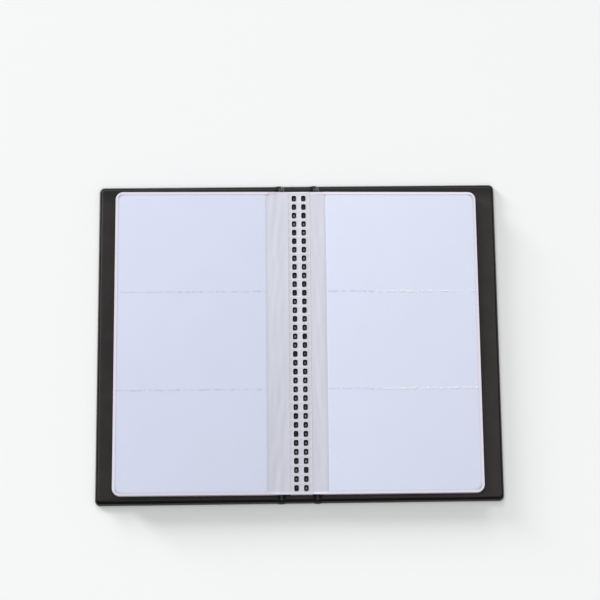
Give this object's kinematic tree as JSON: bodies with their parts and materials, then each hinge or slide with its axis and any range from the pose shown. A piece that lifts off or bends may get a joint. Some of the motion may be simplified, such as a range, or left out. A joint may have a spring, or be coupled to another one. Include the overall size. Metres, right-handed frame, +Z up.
{
  "type": "business card book",
  "caption": "Open business card book: a welded black vinyl cover with a boarded spine, and clear pocket leaves with white backing, spot-welded along the gutter.",
  "frame": {"origin": "underside of the spine, in the middle of the open book, on the surface it lies on", "axes": "+X across the pages to the right, towards the back cover's outer edge; +Y up the page; +Z up from the table"},
  "size_m": [0.2382, 0.192, 0.008],
  "materials": {
    "skin": "satin",
    "liner": "satin",
    "hinge_web": "satin",
    "board": "matte",
    "clear_film": "gloss",
    "white_film": "satin",
    "leaf": "gloss",
    "welded_film": "gloss"
  },
  "bodies": {
    "spine": {"spine_skin": "skin", "spine_board": "board", "spine_liner": "liner", "front_hinge_web": "hinge_web", "back_hinge_web": "hinge_web", "binding_strip": "welded_film"},
    "front_cover": {"front_cover_skin": "skin", "front_cover_board": "board", "front_cover_liner": "liner"},
    "back_cover": {"back_cover_skin": "skin", "back_cover_board": "board", "back_cover_liner": "liner"},
    "left_leaf_10": {"left_leaf_10": "leaf"},
    "left_leaf_09": {"left_leaf_09": "leaf"},
    "left_leaf_08": {"left_leaf_08": "leaf"},
    "left_leaf_07": {"left_leaf_07": "leaf"},
    "left_leaf_06": {"left_leaf_06": "leaf"},
    "left_leaf_05": {"left_leaf_05": "leaf"},
    "left_leaf_04": {"left_leaf_04": "leaf"},
    "left_leaf_03": {"left_leaf_03": "leaf"},
    "left_leaf_02": {"left_leaf_02": "leaf"},
    "left_leaf_01": {"left_leaf_01_front_film": "clear_film", "left_leaf_01_white_sheet": "white_film", "left_leaf_01_rear_film": "clear_film"},
    "right_leaf_10": {"right_leaf_10": "leaf"},
    "right_leaf_09": {"right_leaf_09": "leaf"},
    "right_leaf_08": {"right_leaf_08": "leaf"},
    "right_leaf_07": {"right_leaf_07": "leaf"},
    "right_leaf_06": {"right_leaf_06": "leaf"},
    "right_leaf_05": {"right_leaf_05": "leaf"},
    "right_leaf_04": {"right_leaf_04": "leaf"},
    "right_leaf_03": {"right_leaf_03": "leaf"},
    "right_leaf_02": {"right_leaf_02": "leaf"},
    "right_leaf_01": {"right_leaf_01_front_film": "clear_film", "right_leaf_01_white_sheet": "white_film", "right_leaf_01_rear_film": "clear_film"}
  },
  "joints": [
    {"name": "front_cover_fold", "type": "hinge", "parent": "spine", "child": "front_cover", "pos_m": [-0.0105, 0, 0.0003], "axis": [0, 1, 0], "range_deg": [0, 90], "deforming": ["front_hinge_web"]},
    {"name": "back_cover_fold", "type": "hinge", "parent": "spine", "child": "back_cover", "pos_m": [0.0105, 0, 0.0003], "axis": [0, -1, 0], "range_deg": [0, 90], "deforming": ["back_hinge_web"]},
    {"name": "left_leaf_10_lift", "type": "hinge", "parent": "spine", "child": "left_leaf_10", "pos_m": [-0.00395, 0, 0.00615], "axis": [0, 1, 0], "range_deg": [0, 90]},
    {"name": "left_leaf_09_turn", "type": "hinge", "parent": "left_leaf_10", "child": "left_leaf_09", "pos_m": [-0.00201, 0, 0.00809], "axis": [0, -1, 0], "range_deg": [-179.9, 0]},
    {"name": "left_leaf_08_turn", "type": "hinge", "parent": "left_leaf_09", "child": "left_leaf_08", "pos_m": [-0.00201, 0, 0.00809], "axis": [0, -1, 0], "range_deg": [-179.9, 0]},
    {"name": "left_leaf_07_turn", "type": "hinge", "parent": "left_leaf_08", "child": "left_leaf_07", "pos_m": [-0.00201, 0, 0.00809], "axis": [0, -1, 0], "range_deg": [-179.9, 0]},
    {"name": "left_leaf_06_turn", "type": "hinge", "parent": "left_leaf_07", "child": "left_leaf_06", "pos_m": [-0.00201, 0, 0.00809], "axis": [0, -1, 0], "range_deg": [-179.9, 0]},
    {"name": "left_leaf_05_turn", "type": "hinge", "parent": "left_leaf_06", "child": "left_leaf_05", "pos_m": [-0.00201, 0, 0.00809], "axis": [0, -1, 0], "range_deg": [-179.9, 0]},
    {"name": "left_leaf_04_turn", "type": "hinge", "parent": "left_leaf_05", "child": "left_leaf_04", "pos_m": [-0.00201, 0, 0.00809], "axis": [0, -1, 0], "range_deg": [-179.9, 0]},
    {"name": "left_leaf_03_turn", "type": "hinge", "parent": "left_leaf_04", "child": "left_leaf_03", "pos_m": [-0.00201, 0, 0.00809], "axis": [0, -1, 0], "range_deg": [-179.9, 0]},
    {"name": "left_leaf_02_turn", "type": "hinge", "parent": "left_leaf_03", "child": "left_leaf_02", "pos_m": [-0.00201, 0, 0.00809], "axis": [0, -1, 0], "range_deg": [-179.9, 0]},
    {"name": "left_leaf_01_turn", "type": "hinge", "parent": "left_leaf_02", "child": "left_leaf_01", "pos_m": [-0.00201, 0, 0.00809], "axis": [0, -1, 0], "range_deg": [-179.9, 0]},
    {"name": "right_leaf_10_lift", "type": "hinge", "parent": "spine", "child": "right_leaf_10", "pos_m": [0.00395, 0, 0.00615], "axis": [0, -1, 0], "range_deg": [0, 90]},
    {"name": "right_leaf_09_turn", "type": "hinge", "parent": "right_leaf_10", "child": "right_leaf_09", "pos_m": [0.00201, 0, 0.00809], "axis": [0, 1, 0], "range_deg": [-179.9, 0]},
    {"name": "right_leaf_08_turn", "type": "hinge", "parent": "right_leaf_09", "child": "right_leaf_08", "pos_m": [0.00201, 0, 0.00809], "axis": [0, 1, 0], "range_deg": [-179.9, 0]},
    {"name": "right_leaf_07_turn", "type": "hinge", "parent": "right_leaf_08", "child": "right_leaf_07", "pos_m": [0.00201, 0, 0.00809], "axis": [0, 1, 0], "range_deg": [-179.9, 0]},
    {"name": "right_leaf_06_turn", "type": "hinge", "parent": "right_leaf_07", "child": "right_leaf_06", "pos_m": [0.00201, 0, 0.00809], "axis": [0, 1, 0], "range_deg": [-179.9, 0]},
    {"name": "right_leaf_05_turn", "type": "hinge", "parent": "right_leaf_06", "child": "right_leaf_05", "pos_m": [0.00201, 0, 0.00809], "axis": [0, 1, 0], "range_deg": [-179.9, 0]},
    {"name": "right_leaf_04_turn", "type": "hinge", "parent": "right_leaf_05", "child": "right_leaf_04", "pos_m": [0.00201, 0, 0.00809], "axis": [0, 1, 0], "range_deg": [-179.9, 0]},
    {"name": "right_leaf_03_turn", "type": "hinge", "parent": "right_leaf_04", "child": "right_leaf_03", "pos_m": [0.00201, 0, 0.00809], "axis": [0, 1, 0], "range_deg": [-179.9, 0]},
    {"name": "right_leaf_02_turn", "type": "hinge", "parent": "right_leaf_03", "child": "right_leaf_02", "pos_m": [0.00201, 0, 0.00809], "axis": [0, 1, 0], "range_deg": [-179.9, 0]},
    {"name": "right_leaf_01_turn", "type": "hinge", "parent": "right_leaf_02", "child": "right_leaf_01", "pos_m": [0.00201, 0, 0.00809], "axis": [0, 1, 0], "range_deg": [-179.9, 0]}
  ],
  "couplings": [
    {"joint": "left_leaf_10_lift", "follows": "front_cover_fold", "ratio": 1},
    {"joint": "right_leaf_10_lift", "follows": "back_cover_fold", "ratio": 1}
  ]
}
